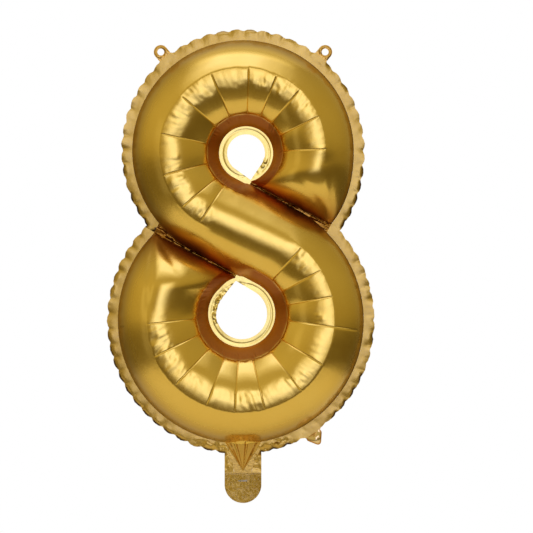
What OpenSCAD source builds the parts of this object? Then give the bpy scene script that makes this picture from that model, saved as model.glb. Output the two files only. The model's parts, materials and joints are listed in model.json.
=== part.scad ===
// Foil number balloon, figure 8, inflated.
// Millimetres. +Z is up and the front faces -Y. The origin is midway between the two hanging eyelets,
// in the plane where the front and back films are welded together.
// The gas chamber is one S-shaped tube. Its two closed ends butt on the diagonal band at the waist.

/* [Loops] */
// Radius of the upper loop's outer weld line
upper_r = 205; // [165:1:250]
// Radius of the lower loop's outer weld line
lower_r = 227.5; // [185:0.5:275]
// Slope of the diagonal band below the horizontal, in degrees
band_angle = 28; // [22:1:34]
// Sideways step from the upper loop's centre to the lower loop's
lower_dx = -4; // [-10:1:10]
// How far the upper loop's weld line swells outward at its closed end
end_swell = 7; // [0:1:12]

/* [Holes] */
// Radius of the upper hole's weld line
upper_hole_r = 50; // [40:1:60]
// Radius of the lower hole's weld line
lower_hole_r = 62; // [50:1:75]
// Sideways step from the upper loop's centre to the upper hole's
upper_hole_dx = 5.6; // [-10:0.1:10]
// Step up from the upper loop's centre to the upper hole's
upper_hole_dz = -4.3; // [-10:0.1:10]
// Sideways step from the upper loop's centre to the lower hole's
lower_hole_dx = -2.4; // [-10:0.1:10]
// Direction of the upper opening's pointed tip, in degrees; the lower tip points the other way
tip_angle = -80; // [-90:1:-70]
// Width of the weld inside each hole
hole_weld_w = 15; // [8:0.5:20]

/* [Inflated tube] */
// Front-to-back depth as a share of the tube's width
depth_ratio = 0.94; // [0.7:0.01:1]
// How far the crest stands from the middle, towards the outer weld line, as a share of the width
crest_shift = 0.06; // [0:0.01:0.12]
// Roundness of the profile at the weld lines: 0.5 is an ellipse, more is leaner
edge_power = 0.54; // [0.5:0.01:0.7]
// Length over which a closed end rises to full depth
closing_len = 75; // [50:1:110]

/* [Film] */
// Thickness of one foil film
film_t = 0.2; // [0.15:0.01:0.3]
// Thickness of one valve film
valve_t = 0.1; // [0.08:0.01:0.15]

/* [Welds] */
// Width of the weld around the outside
rim_w = 19; // [12:0.5:25]
// Width of the weld between a closed end and the band
waist_w = 9; // [6:0.5:14]
// Spacing of the puckers along the rim
scallop_pitch = 27; // [18:1:40]
// Depth of the puckers at the rim's edge
scallop_depth = 3; // [0:0.5:5]

/* [Hanging tabs] */
// Radius of each hanging eyelet
eyelet_r = 6.3; // [3:0.1:8]
// Radius of a hanging tab's round end
tab_r = 13; // [10:0.5:16]
// Distance from a hanging tab's fold to its eyelet
tab_reach = 12; // [9:0.5:16]
// Direction of the right tab from the upper loop's centre, in degrees
tab_angle = 50.3; // [40:0.1:65]
// Width of the lower tab at its fold
lower_tab_w = 31; // [20:1:40]
// Length of the lower tab
lower_tab_len = 23; // [15:1:30]
// Direction of the lower tab from the lower loop's centre, in degrees
lower_tab_angle = -57.5; // [-70:0.5:-45]
// How far each tab's fold stands outside the rim
tab_stand = 2; // [1:0.5:4]
// Clearance between a fold and the edge next to it
fold_gap = 0.25; // [0.2:0.01:0.5]

/* [Neck and tail] */
// Width of the neck and the tail
tail_w = 68; // [50:1:80]
// Length of the neck from the rim to the fold
neck_len = 36; // [25:1:50]
// Length of the tail below the fold
tail_len = 55; // [45:1:70]
// Width of the weld around the tail
tail_weld_w = 4; // [2:0.5:6]
// Width of the neck's channel at the top
channel_w = 60; // [40:1:64]
// Width of the inflation slot
slot_w = 17; // [10:1:25]
// Height of the inflation slot
slot_h = 3; // [2:0.5:5]
// Distance from the fold down to the inflation slot
slot_drop = 14; // [8:1:20]

/* [Valve] */
// Width of the self-closing valve
valve_w = 32; // [24:1:38]
// How far the valve reaches up into the chamber, past the outer weld line
valve_rise = 84; // [50:1:110]
// Width of the weld down each side of the valve
valve_weld_w = 3; // [2:0.5:5]

/* [Hidden] */

$fn = 96;

GOLD = "goldenrod";
PALE_GOLD = "khaki";
CLEAR_FILM = "whitesmoke";
FAR = 1200; // larger than the balloon, for cutting shapes

// Steps along the tube in each loop and in the band, and across it
LOOP_STEPS = 44;
BAND_STEPS = 8;
ACROSS_STEPS = 14;
END_CROWDING = 1.35; // above 1, the steps crowd towards the closed ends

// ---- Directions: across is square to the band and points up and to the right, along runs down it
function unit(a) = [cos(a), sin(a)];
function mix(a, b, t) = a + (b - a) * t;
function ease(t) = let (k = max(0, min(1, t))) k * k * (3 - 2 * k);

across_a = 90 - band_angle;
across = unit(across_a);
along = unit(-band_angle);
function on_band(s, h) = along * s + across * h;

// ---- Centres: the band's two weld lines are tangents shared by one loop's rim and the other's hole
tab_fold_r = upper_r + rim_w + tab_stand;
eyelet_from_centre = tab_fold_r + tab_reach;
upper_c = [0, -eyelet_from_centre * sin(tab_angle)];
upper_hole_c = upper_c + [upper_hole_dx, upper_hole_dz];
band_top = across * upper_hole_c - upper_hole_r;
band_bottom = across * upper_c - upper_r;
lower_c = [lower_dx, (band_top - lower_r - across[0] * lower_dx) / across[1]];
lower_hole_c = [lower_hole_dx, (band_bottom - lower_hole_r - across[0] * lower_hole_dx) / across[1]];

// ---- Closed ends: each lies on a line that stands off the band by the waist weld
upper_end_h = band_top + waist_w;
lower_end_h = band_bottom - waist_w;
upper_end_a = across_a - acos((upper_end_h - across * upper_c) / (upper_r + end_swell));
lower_end_a = across_a + acos((lower_end_h - across * lower_c) / lower_r) - 360;
upper_inner_end_r = (waist_w - upper_hole_r) / cos(tip_angle - across_a);
lower_inner_end_r = (lower_hole_r - waist_w) / cos(tip_angle + 180 - across_a);
END_BLEND = 35; // degrees over which a hole's weld line leaves its circle near a closed end
SWELL_BLEND = 40; // degrees over which the swell fades out

function upper_rim_r(a) = upper_r + end_swell * ease((upper_end_a + SWELL_BLEND - a) / SWELL_BLEND);
function upper_inner_r(a) =
    mix(upper_hole_r, upper_inner_end_r, ease((tip_angle + END_BLEND - a) / END_BLEND));
function lower_inner_r(a) =
    mix(lower_hole_r, lower_inner_end_r, ease((tip_angle - 180 + END_BLEND - a) / END_BLEND));

// ---- Sections of the tube, as [left weld point, right weld point], for x from 0 to 3:
// the upper loop up to 1, the band up to 2, the lower loop up to 3
function upper_section(t) =
    let (inner_a = mix(tip_angle, across_a + 180, t), outer_a = mix(upper_end_a, across_a + 180, t))
    [upper_hole_c + upper_inner_r(inner_a) * unit(inner_a), upper_c + upper_rim_r(outer_a) * unit(outer_a)];
function lower_section(t) =
    let (inner_a = mix(across_a, tip_angle - 180, t), outer_a = mix(across_a, lower_end_a, t))
    [lower_c + lower_r * unit(outer_a), lower_hole_c + lower_inner_r(inner_a) * unit(inner_a)];
function band_section(t) =
    [mix(upper_section(1)[0], lower_section(0)[0], t), mix(upper_section(1)[1], lower_section(0)[1], t)];
function section(x) = x < 1 ? upper_section(x) : x < 2 ? band_section(x - 1) : lower_section(x - 2);

// Lengths along the middle of the tube
upper_len = (upper_r + upper_hole_r) / 2 * (across_a + 180 - upper_end_a) * PI / 180;
lower_len = (lower_r + lower_hole_r) / 2 * (across_a - lower_end_a) * PI / 180;
band_len = norm(band_section(0.5)[0] - band_section(0)[0]) * 2;
tube_len = upper_len + band_len + lower_len;
function travelled(x) =
    x < 1 ? x * upper_len : x < 2 ? upper_len + (x - 1) * band_len : upper_len + band_len + (x - 2) * lower_len;

stations = concat(
    [0, film_t / upper_len],
    [for (i = [1 : LOOP_STEPS]) pow(i / LOOP_STEPS, END_CROWDING)],
    [for (i = [1 : BAND_STEPS]) 1 + i / BAND_STEPS],
    [for (i = [1 : LOOP_STEPS - 1]) 3 - pow(1 - i / LOOP_STEPS, END_CROWDING)],
    [3 - film_t / lower_len, 3]
);

// ---- Inflated profile
function closing(s) = s <= 0 ? 0 : s >= closing_len ? 1 : sqrt(1 - pow(1 - s / closing_len, 2));
// Share of the crest shift at this distance along the tube: 1 in the upper loop, -1 in the lower
function turn(s) = let (t = (upper_len + band_len / 2 - s) / band_len) max(-1, min(1, t));
function profile(v, s) =
    let (
        q = 2 * v - 1,
        c = 2 * crest_shift * turn(s),
        k = q - c * (1 - q * q) / (1 - c * c)
    )
    pow(max(0, 1 - k * k), edge_power);

// A point of the front film's outer face, or of a face set in by inset. base is its height at the welds.
function skin_point(x, v, inset, base) =
    let (
        ends = section(x),
        width = norm(ends[1] - ends[0]),
        p = mix(ends[0], ends[1], (inset + v * (width - 2 * inset)) / width),
        s = travelled(x),
        rise = closing(s - inset) * closing(tube_len - s - inset) * (depth_ratio * width / 2 - inset)
    )
    [p[0], -base - rise * profile(v, s), p[1]];

function across_share(j) = (1 - cos(180 * j / ACROSS_STEPS)) / 2;

// One closed loop of points round the film's cut face at x
function skin_loop(x) =
    let (ends = section(x))
    concat(
        [[ends[0][0], -valve_t, ends[0][1]]],
        [for (j = [0 : ACROSS_STEPS]) skin_point(x, across_share(j), 0, valve_t + film_t)],
        [[ends[1][0], -valve_t, ends[1][1]]],
        [for (j = [ACROSS_STEPS : -1 : 0]) skin_point(x, across_share(j), film_t, valve_t)]
    );

module skin() {
    rings = len(stations);
    m = 2 * ACROSS_STEPS + 4;
    outer_last = ACROSS_STEPS + 1;
    points = [for (x = stations) each skin_loop(x)];
    sides = [
        for (i = [0 : rings - 2])
            for (k = [0 : m - 1])
                let (a = i * m + k, b = i * m + (k + 1) % m, c = b + m, d = a + m)
                each [[a, b, c], [a, c, d]]
    ];
    // A cap is a row of slices between the outer and the inner points, and a triangle at each end
    function cap(o) = concat(
        [[o, o + m - 1, o + 1], [o + outer_last, o + outer_last + 2, o + outer_last + 1]],
        [
            for (j = [1 : ACROSS_STEPS])
                let (a = o + j, b = o + j + 1, c = o + m - 1 - j, d = o + m - j)
                each [[a, c, b], [a, d, c]]
        ]
    );
    function flipped(faces) = [for (f = faces) [f[0], f[2], f[1]]];
    polyhedron(points, concat(sides, cap(0), flipped(cap((rings - 1) * m))), convexity = 8);
}

// ---- Flat outlines, drawn in X and Z
module chamber_outline() {
    left = [for (x = stations) section(x)[0]];
    right = [for (i = [len(stations) - 1 : -1 : 0]) section(stations[i])[1]];
    polygon(concat(left, right));
}

SCALLOP_POINTS = 4; // points on each pucker's edge
function scallop(a, count) = scallop_depth * pow(abs(sin(a * count / 2)), 0.8) - scallop_depth / 2;
module rim_disc(centre, r, swells) {
    count = round(2 * PI * (r + rim_w) / scallop_pitch);
    steps = count * SCALLOP_POINTS;
    polygon([
        for (i = [0 : steps - 1])
            let (a = i * 360 / steps - 90, line_r = swells ? upper_rim_r(a) : r)
            centre + (line_r + rim_w + scallop(a, count)) * unit(a)
    ]);
}

// A round opening with a pointed tip: the tip stands on the hole's weld circle
module opening_outline(centre, weld_r, tip_a) {
    r = weld_r - hole_weld_w;
    spread = acos(r / weld_r);
    translate(centre) {
        circle(r);
        polygon([[0, 0], r * unit(tip_a - spread), weld_r * unit(tip_a), r * unit(tip_a + spread)]);
    }
}

// A rectangle in the band's own directions, between two distances along it and two across it
module band_box(s, h) {
    polygon([on_band(s[0], h[0]), on_band(s[1], h[0]), on_band(s[1], h[1]), on_band(s[0], h[1])]);
}

// A rectangle beside a tab's fold: from is measured outward from the fold
module fold_box(centre, fold_r, a, from, to, width) {
    translate(centre) rotate(a) translate([fold_r + from, -width / 2]) square([to - from, width]);
}

LAND_MARGIN = 1.5; // how much wider than its tab the rim's straight edge is
LAND_DEPTH = 12; // how far the straight edge reaches into the rim
edge_stand = film_t + fold_gap; // from a tab's fold axis to the fixed edge beside it
tail_half_t = valve_t + film_t; // the tail holds the valve's lower end between its films
lower_tab_fold_r = lower_r + rim_w + tab_stand;

module land(centre, fold_r, a, width) {
    fold_box(centre, fold_r, a, -LAND_DEPTH, -edge_stand, width + 2 * LAND_MARGIN);
}
module tab_space(centre, fold_r, a, width) {
    fold_box(centre, fold_r, a, -edge_stand, 2 * LAND_DEPTH, width + LAND_MARGIN);
}

rim_bottom = lower_c[1] - lower_r - rim_w;
fold_z = rim_bottom - neck_len;
neck_bottom = fold_z + tail_half_t + fold_gap;
neck_top = rim_bottom + rim_w + tail_w / 3; // inside the chamber's outline

module neck_outline() {
    difference() {
        translate([-tail_w / 2, neck_bottom]) square([tail_w, neck_top - neck_bottom]);
        chamber_outline();
    }
}

module channel_outline() {
    polygon([
        [-channel_w / 2, neck_top], [channel_w / 2, neck_top],
        [valve_w / 2, neck_bottom], [-valve_w / 2, neck_bottom]
    ]);
}

// All that is welded flat, apart from the neck
module weld_outline() {
    difference() {
        union() {
            rim_disc(upper_c, upper_r, true);
            rim_disc(lower_c, lower_r, false);
            for (a = [tab_angle, 180 - tab_angle]) land(upper_c, tab_fold_r, a, 2 * tab_r);
            land(lower_c, lower_tab_fold_r, lower_tab_angle, lower_tab_w);
        }
        chamber_outline();
        opening_outline(upper_hole_c, upper_hole_r, tip_angle);
        opening_outline(lower_hole_c, lower_hole_r, tip_angle + 180);
        for (a = [tab_angle, 180 - tab_angle]) tab_space(upper_c, tab_fold_r, a, 2 * tab_r);
        tab_space(lower_c, lower_tab_fold_r, lower_tab_angle, lower_tab_w);
        translate([-tail_w / 2, rim_bottom - FAR]) square([tail_w, FAR + rim_w + tail_w / 3]);
    }
}

// Limits of the waist welds along the band
WAIST_DEPTH = 16; // how far a waist weld's cut reaches past the band's weld line
CORNER = 1; // how far from a closed end's inner corner its waist weld starts
upper_end_s = [along * upper_section(0)[0] + CORNER, along * upper_section(0)[1]];
lower_end_s = [along * lower_section(1)[0], along * lower_section(1)[1] - CORNER];
module right_waist_region() {
    band_box(upper_end_s, [band_top - WAIST_DEPTH, upper_end_h + film_t]);
}
module left_waist_region() {
    band_box(lower_end_s, [lower_end_h - film_t, band_bottom + WAIST_DEPTH]);
}
module upper_side() {
    middle_s = along * (upper_c + lower_c) / 2;
    band_box([-FAR, FAR], [band_top + waist_w / 2, FAR]);
    band_box([-FAR, middle_s], [band_bottom - waist_w / 2, FAR]);
}
HOLE_SHARE = 1.35; // radius round a hole within which the weld is the hole's, over the hole's own
module upper_hole_region() {
    translate(upper_hole_c) circle(upper_hole_r * HOLE_SHARE);
}
module lower_hole_region() {
    translate(lower_hole_c) circle(lower_hole_r * HOLE_SHARE);
}
module rim_outline() {
    difference() {
        weld_outline();
        right_waist_region();
        left_waist_region();
        upper_hole_region();
        lower_hole_region();
    }
}
module lower_rim_outline() {
    difference() {
        rim_outline();
        upper_side();
    }
    difference() {
        neck_outline();
        channel_outline();
    }
}

// ---- Solids from outlines
// A plate between two depths
module plate(y0, y1) {
    rotate([90, 0, 0]) translate([0, 0, -y1]) linear_extrude(y1 - y0) children();
}
// Both films fused into one
module welded_plate() {
    plate(-film_t, film_t) children();
}

// ---- The chamber
module front_panel() {
    color(GOLD) skin();
}
module back_panel() {
    color(GOLD) mirror([0, 1, 0]) skin();
}
module upper_rim_weld() {
    color(PALE_GOLD) welded_plate() intersection() {
        rim_outline();
        upper_side();
    }
}
// The lower rim's two halves run on down the sides of the neck
module lower_left_rim_weld() {
    color(PALE_GOLD) welded_plate() intersection() {
        lower_rim_outline();
        translate([-FAR, -FAR]) square([FAR, 2 * FAR]);
    }
}
module lower_right_rim_weld() {
    color(PALE_GOLD) welded_plate() intersection() {
        lower_rim_outline();
        translate([0, -FAR]) square([FAR, 2 * FAR]);
    }
}
module upper_hole_weld() {
    color(PALE_GOLD) welded_plate() difference() {
        intersection() {
            weld_outline();
            upper_hole_region();
        }
        right_waist_region();
    }
}
module lower_hole_weld() {
    color(PALE_GOLD) welded_plate() difference() {
        intersection() {
            weld_outline();
            lower_hole_region();
        }
        left_waist_region();
    }
}
module right_waist_weld() {
    color(PALE_GOLD) welded_plate() intersection() {
        weld_outline();
        right_waist_region();
    }
}
module left_waist_weld() {
    color(PALE_GOLD) welded_plate() intersection() {
        weld_outline();
        left_waist_region();
    }
}

// ---- The neck
module neck_film(y0) {
    color(GOLD) plate(y0, y0 + film_t) intersection() {
        neck_outline();
        channel_outline();
    }
}
module neck_front_film() {
    neck_film(-valve_t - film_t);
}
module neck_back_film() {
    neck_film(valve_t);
}

// ---- The valve: two films welded down both sides, from the fold up into the chamber
valve_top = rim_bottom + rim_w + valve_rise;
module valve_strip(x, width) {
    translate([x, neck_bottom]) square([width, valve_top - neck_bottom]);
}
module valve_film(y0) {
    inner_w = valve_w - 2 * valve_weld_w;
    color(CLEAR_FILM) plate(y0, y0 + valve_t) valve_strip(-inner_w / 2, inner_w);
}
module valve_front_film() {
    valve_film(-valve_t);
}
module valve_back_film() {
    valve_film(0);
}
module valve_left_weld() {
    color(CLEAR_FILM) plate(-valve_t, valve_t) valve_strip(-valve_w / 2, valve_weld_w);
}
module valve_right_weld() {
    color(CLEAR_FILM) plate(-valve_t, valve_t) valve_strip(valve_w / 2 - valve_weld_w, valve_weld_w);
}

// ---- Folds: a half-round bead on the fold's axis, along X, bulging down
module bead(r, width) {
    rotate([0, 90, 0]) rotate_extrude(angle = 180, start = 90)
        translate([0, -width / 2]) square([r, width]);
}

// ---- The tail, which hangs from the fold and holds the valve's lower end
straight_len = tail_len - tail_w / 2;
module tail_outline(inset) {
    r = tail_w / 2 - inset;
    translate([-r, fold_z - straight_len]) square([2 * r, straight_len]);
    translate([0, fold_z - straight_len]) difference() {
        circle(r);
        translate([-FAR, 0]) square([2 * FAR, FAR]);
    }
}
// The slot that gas goes in by, through the tail's front film and the valve's
module slot_outline() {
    half_flat = (slot_w - slot_h) / 2;
    translate([0, fold_z - slot_drop]) {
        square([2 * half_flat, slot_h], center = true);
        for (side = [-1, 1]) translate([side * half_flat, 0]) circle(slot_h / 2);
    }
}
VALVE_FOOT = 6; // how far the valve's closed foot reaches below the slot
module tail_valve_outline() {
    foot = slot_drop + slot_h / 2 + VALVE_FOOT;
    translate([-valve_w / 2, fold_z - foot]) square([valve_w, foot]);
}
module tail_edge_weld() {
    color(PALE_GOLD) {
        plate(-tail_half_t, tail_half_t) difference() {
            tail_outline(0);
            tail_outline(tail_weld_w);
        }
        for (side = [-1, 1])
            translate([side * (tail_w - tail_weld_w) / 2, 0, fold_z]) mirror([0, 0, 1])
                bead(tail_half_t, tail_weld_w);
    }
}
module tail_front_film() {
    color(GOLD) plate(-tail_half_t, -valve_t) difference() {
        tail_outline(tail_weld_w);
        slot_outline();
    }
}
module tail_back_film() {
    color(GOLD) plate(valve_t, tail_half_t) tail_outline(tail_weld_w);
}
module tail_valve_front_film() {
    color(CLEAR_FILM) plate(-valve_t, 0) difference() {
        tail_valve_outline();
        slot_outline();
    }
}
module tail_valve_back_film() {
    color(CLEAR_FILM) plate(0, valve_t) tail_valve_outline();
}

// ---- The tabs, each drawn with its fold on the X axis and reaching up Z
module place_tab(centre, fold_r, a) {
    at = centre + fold_r * unit(a);
    translate([at[0], 0, at[1]]) rotate([0, 90 - a, 0]) children();
}
module hanging_tab(a) {
    color(GOLD) place_tab(upper_c, tab_fold_r, a) {
        welded_plate() difference() {
            union() {
                translate([-tab_r, 0]) square([2 * tab_r, tab_reach]);
                translate([0, tab_reach]) circle(tab_r);
            }
            translate([0, tab_reach]) circle(eyelet_r);
            translate([-FAR, -FAR]) square([2 * FAR, FAR]);
        }
        mirror([0, 0, 1]) bead(film_t, 2 * tab_r);
    }
}
module left_hanging_tab() {
    hanging_tab(180 - tab_angle);
}
module right_hanging_tab() {
    hanging_tab(tab_angle);
}
LOWER_TAB_TIP_R = 8;
module lower_tab() {
    color(GOLD) place_tab(lower_c, lower_tab_fold_r, lower_tab_angle) {
        welded_plate() hull() {
            translate([-lower_tab_w / 2, 0]) square([lower_tab_w, lower_tab_len / 4]);
            translate([0, lower_tab_len - LOWER_TAB_TIP_R]) circle(LOWER_TAB_TIP_R, $fn = 32);
        }
        mirror([0, 0, 1]) bead(film_t, lower_tab_w);
    }
}

front_panel();
back_panel();
upper_rim_weld();
lower_left_rim_weld();
lower_right_rim_weld();
upper_hole_weld();
lower_hole_weld();
right_waist_weld();
left_waist_weld();
neck_front_film();
neck_back_film();
valve_front_film();
valve_back_film();
valve_left_weld();
valve_right_weld();
tail_front_film();
tail_back_film();
tail_edge_weld();
tail_valve_front_film();
tail_valve_back_film();
left_hanging_tab();
right_hanging_tab();
lower_tab();
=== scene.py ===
"""Looks for the foil number balloon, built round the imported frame. Metres, Z up, front facing -Y."""

import json
import math

import bmesh
import bpy
import numpy as np
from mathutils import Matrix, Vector
from mathutils.kdtree import KDTree


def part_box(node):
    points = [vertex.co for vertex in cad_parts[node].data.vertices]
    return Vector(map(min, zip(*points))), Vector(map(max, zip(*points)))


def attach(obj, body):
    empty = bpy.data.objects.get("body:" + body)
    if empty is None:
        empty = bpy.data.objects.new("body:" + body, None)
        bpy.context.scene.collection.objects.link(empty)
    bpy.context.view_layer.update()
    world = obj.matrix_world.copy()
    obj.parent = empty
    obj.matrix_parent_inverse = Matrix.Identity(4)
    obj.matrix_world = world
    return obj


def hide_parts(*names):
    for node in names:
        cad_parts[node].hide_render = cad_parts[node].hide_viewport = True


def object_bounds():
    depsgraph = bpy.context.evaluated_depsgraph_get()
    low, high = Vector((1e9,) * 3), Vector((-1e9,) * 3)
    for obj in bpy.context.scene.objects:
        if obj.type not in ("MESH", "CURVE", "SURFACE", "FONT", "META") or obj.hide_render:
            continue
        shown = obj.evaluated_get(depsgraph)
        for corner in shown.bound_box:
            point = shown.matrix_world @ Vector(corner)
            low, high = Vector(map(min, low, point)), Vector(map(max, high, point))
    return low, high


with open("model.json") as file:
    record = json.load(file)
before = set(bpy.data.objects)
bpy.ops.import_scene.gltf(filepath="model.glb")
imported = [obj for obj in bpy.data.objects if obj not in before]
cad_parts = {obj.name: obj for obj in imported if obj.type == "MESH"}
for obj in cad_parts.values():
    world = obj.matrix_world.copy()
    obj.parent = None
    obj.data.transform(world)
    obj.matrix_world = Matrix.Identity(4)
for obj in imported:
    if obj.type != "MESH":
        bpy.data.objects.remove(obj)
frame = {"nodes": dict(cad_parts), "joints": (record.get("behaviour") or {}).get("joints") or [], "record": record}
CAD_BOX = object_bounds()

MM = 0.001


# ---------------------------------------------------------------- small helpers
def unit(degrees):
    """Unit vectors in the plane of the 8, as X and Z."""
    a = np.radians(degrees)
    return np.stack([np.cos(a), np.sin(a)], axis=-1)


def mix(a, b, t):
    return a + (b - a) * t


def ease(t):
    t = np.clip(t, 0.0, 1.0)
    return t * t * (3.0 - 2.0 * t)


def step_up(value, start, end):
    """0 before start and 1 after end, smooth between them."""
    return ease((value - start) / (end - start))


def window(value, start, end, soft):
    """1 between start and end, fading to 0 over soft on either side."""
    return step_up(value, start - soft, start) * (1.0 - step_up(value, end, end + soft))


LATTICE = 97


def noise(u, v, seed):
    """Smooth random values from -1 to 1, with one lattice cell per unit of u and v."""
    grid = np.random.RandomState(seed).uniform(-1.0, 1.0, (LATTICE, LATTICE))
    u, v = np.broadcast_arrays(np.asarray(u, float), np.asarray(v, float))
    iu, iv = np.floor(u).astype(int), np.floor(v).astype(int)
    fu, fv = ease(u - iu), ease(v - iv)
    iu0, iv0 = iu % LATTICE, iv % LATTICE
    iu1, iv1 = (iu + 1) % LATTICE, (iv + 1) % LATTICE
    low = mix(grid[iu0, iv0], grid[iu1, iv0], fu)
    high = mix(grid[iu0, iv1], grid[iu1, iv1], fu)
    return mix(low, high, fv)


def corners(node):
    lo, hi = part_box(node)
    return np.array(lo), np.array(hi)


def flat(vector):
    """A point's X and Z."""
    return np.array([vector[0], vector[2]])


# ---------------------------------------------------------------- layout, from the frame
JOINTS = {j["name"]: j for j in frame["joints"]}
OPENINGS = {o["name"]: np.array(o["box_m"]) for o in frame["record"]["physics"]["openings"]}
MOUNTS = {m["name"]: m for m in frame["record"]["mounts"]}


INSIDE = np.array([0.0, -0.4])  # a point inside the balloon


def fold_line(joint):
    """A fold's middle point, and the direction across it that leads away from the balloon."""
    p, axis = flat(JOINTS[joint]["pos_m"]), flat(JOINTS[joint]["axis"])
    outward = np.array([axis[1], -axis[0]])
    return p, outward if outward @ (INSIDE - p) < 0 else -outward


chamber_lo, chamber_hi = corners("front_panel")
lower_r = (chamber_hi[0] - chamber_lo[0]) / 2
lower_c = np.array([(chamber_hi[0] + chamber_lo[0]) / 2, chamber_lo[2] + lower_r])

right_fold, right_out = fold_line("right_tab_fold")
left_fold, left_out = fold_line("left_tab_fold")
lower_fold, lower_out = fold_line("lower_tab_fold")
upper_c = right_fold - right_out * (right_fold[0] / right_out[0])
upper_r = chamber_hi[2] - upper_c[1]

upper_hole_c = flat(OPENINGS["upper_hole"].mean(axis=0))
lower_hole_c = flat(OPENINGS["lower_hole"].mean(axis=0))
hole_lo, hole_hi = corners("upper_hole_weld")
upper_hole_r = (hole_hi[0] - hole_lo[0]) / 2
hole_lo, hole_hi = corners("lower_hole_weld")
lower_hole_r = (hole_hi[0] - hole_lo[0]) / 2

# The band's upper weld line is a tangent of the upper hole's circle and of the lower loop's
between = upper_hole_c - lower_c
across_a = math.degrees(
    math.atan2(between[1], between[0])
    - math.acos((upper_hole_r + lower_r) / math.hypot(*between))
)
across, along = unit(across_a), unit(across_a - 90)
band_top = across @ upper_hole_c - upper_hole_r
band_bottom = across @ upper_c - upper_r

WAIST_GAP = 9 * MM  # from a closed end of the tube to the band
END_SWELL = 7 * MM  # how far the upper loop's weld line swells outward at its closed end
TIP_A = -80.0  # direction of the upper opening's tip; the lower one points the other way
END_BLEND = 35.0  # degrees over which a hole's weld line eases into the slit beside it
SWELL_BLEND = 40.0  # degrees over which the swelling of the upper loop's end grows
CREST_SHIFT = 0.06  # how far the section's crest stands off its middle, as a share of its width
EDGE_POWER = 0.54  # the section's roundness; an ellipse has 0.5
CLOSING = 75 * MM  # length over which the tube closes at each end

upper_end_h = band_top + WAIST_GAP
lower_end_h = band_bottom - WAIST_GAP


def arc(cosine):
    return math.degrees(math.acos(cosine))


upper_end_a = across_a - arc((upper_end_h - across @ upper_c) / (upper_r + END_SWELL))
lower_end_a = across_a + arc((lower_end_h - across @ lower_c) / lower_r) - 360
upper_inner_end_r = (WAIST_GAP - upper_hole_r) / math.cos(math.radians(TIP_A - across_a))
lower_inner_end_r = (lower_hole_r - WAIST_GAP) / math.cos(math.radians(TIP_A + 180 - across_a))


def upper_section(t):
    inner, outer = mix(TIP_A, across_a + 180, t), mix(upper_end_a, across_a + 180, t)
    inner_r = mix(upper_hole_r, upper_inner_end_r, ease((TIP_A + END_BLEND - inner) / END_BLEND))
    outer_r = upper_r + END_SWELL * ease((upper_end_a + SWELL_BLEND - outer) / SWELL_BLEND)
    return upper_hole_c + inner_r[:, None] * unit(inner), upper_c + outer_r[:, None] * unit(outer)


def lower_section(t):
    inner, outer = mix(across_a, TIP_A - 180, t), mix(across_a, lower_end_a, t)
    inner_r = mix(
        lower_hole_r, lower_inner_end_r, ease((TIP_A - 180 + END_BLEND - inner) / END_BLEND)
    )
    return lower_c + lower_r * unit(outer), lower_hole_c + inner_r[:, None] * unit(inner)


def section(x):
    """The tube's left and right weld points at x: the upper loop to 1, the band to 2, the lower loop to 3."""
    x = np.asarray(x, float)
    flat_x = x.ravel()
    up, low = upper_section(np.clip(flat_x, 0, 1)), lower_section(np.clip(flat_x - 2, 0, 1))
    t = np.clip(flat_x - 1, 0, 1)[:, None]
    return [mix(up[side], low[side], t).reshape(*x.shape, 2) for side in (0, 1)]


def length_between(a, b):
    ends = section(np.array([a, b]))
    middle = (ends[0] + ends[1]) / 2
    return math.hypot(*(middle[1] - middle[0]))


upper_len = (upper_r + upper_hole_r) / 2 * math.radians(across_a + 180 - upper_end_a)
lower_len = (lower_r + lower_hole_r) / 2 * math.radians(across_a - lower_end_a)
band_len = length_between(1, 2)
tube_len = upper_len + band_len + lower_len
MARKS = np.array([0.0, upper_len, upper_len + band_len, tube_len])


def travelled(x):
    return np.interp(x, [0, 1, 2, 3], MARKS)


def place_on_tube(s):
    return np.interp(s, MARKS, [0, 1, 2, 3])


# ---------------------------------------------------------------- creases
# Directions of the creases from each hole's centre, in degrees, in the order the tube meets them
UPPER_CREASES = [2, 26, 49, 68, 88, 114, 139, 168, 196, 221, 237]
LOWER_CREASES = [48, 29, 11, -8, -32, -52, -76, -94, -111, -133, -154, -174]
N_UPPER = len(UPPER_CREASES)
LONG_CREASE = 3  # in the lower loop, this one runs on out to the rim

RIDGE = 0.67  # where the facets end, as a share of the way from a hole's weld to the rim's
RIDGE_H = 1.9 * MM
SHOULDER = 0.14  # where the wall round a hole turns into the facets

# Where the film's rows stand across the tube: closer at its welds, and a pair at each shoulder
ROWS = (1 - np.cos(np.pi * np.arange(101) / 100)) / 2
SHOULDER_ROWS = [SHOULDER - 0.005, SHOULDER + 0.005, 1 - SHOULDER - 0.005, 1 - SHOULDER + 0.005]
ROWS = np.unique(np.concatenate([ROWS, SHOULDER_ROWS]))


def crease_places(v):
    """Where each crease crosses each row, so that it stays radial about its hole."""
    t = np.linspace(0, 1, 500)
    out = []
    for loop, hole, turn, creases in (
        (upper_section, upper_hole_c, 1, UPPER_CREASES),
        (lower_section, lower_hole_c, -1, LOWER_CREASES),
    ):
        left, right = loop(t)
        rows = []
        for share in v:
            p = mix(left, right, share) - hole
            a = np.degrees(np.unwrap(np.arctan2(p[:, 1], p[:, 0])))
            rows.append(np.interp(turn * np.array(creases), turn * a, t))
        out.append(np.array(rows).T)
    return np.concatenate([out[0], out[1] + 2])


CREASE_X = crease_places(ROWS)
NOMINAL_X = CREASE_X[:, np.argmin(np.abs(ROWS - 0.45))].copy()
NOMINAL_X[N_UPPER:] = CREASE_X[N_UPPER:, np.argmin(np.abs(ROWS - 0.55))]


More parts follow.
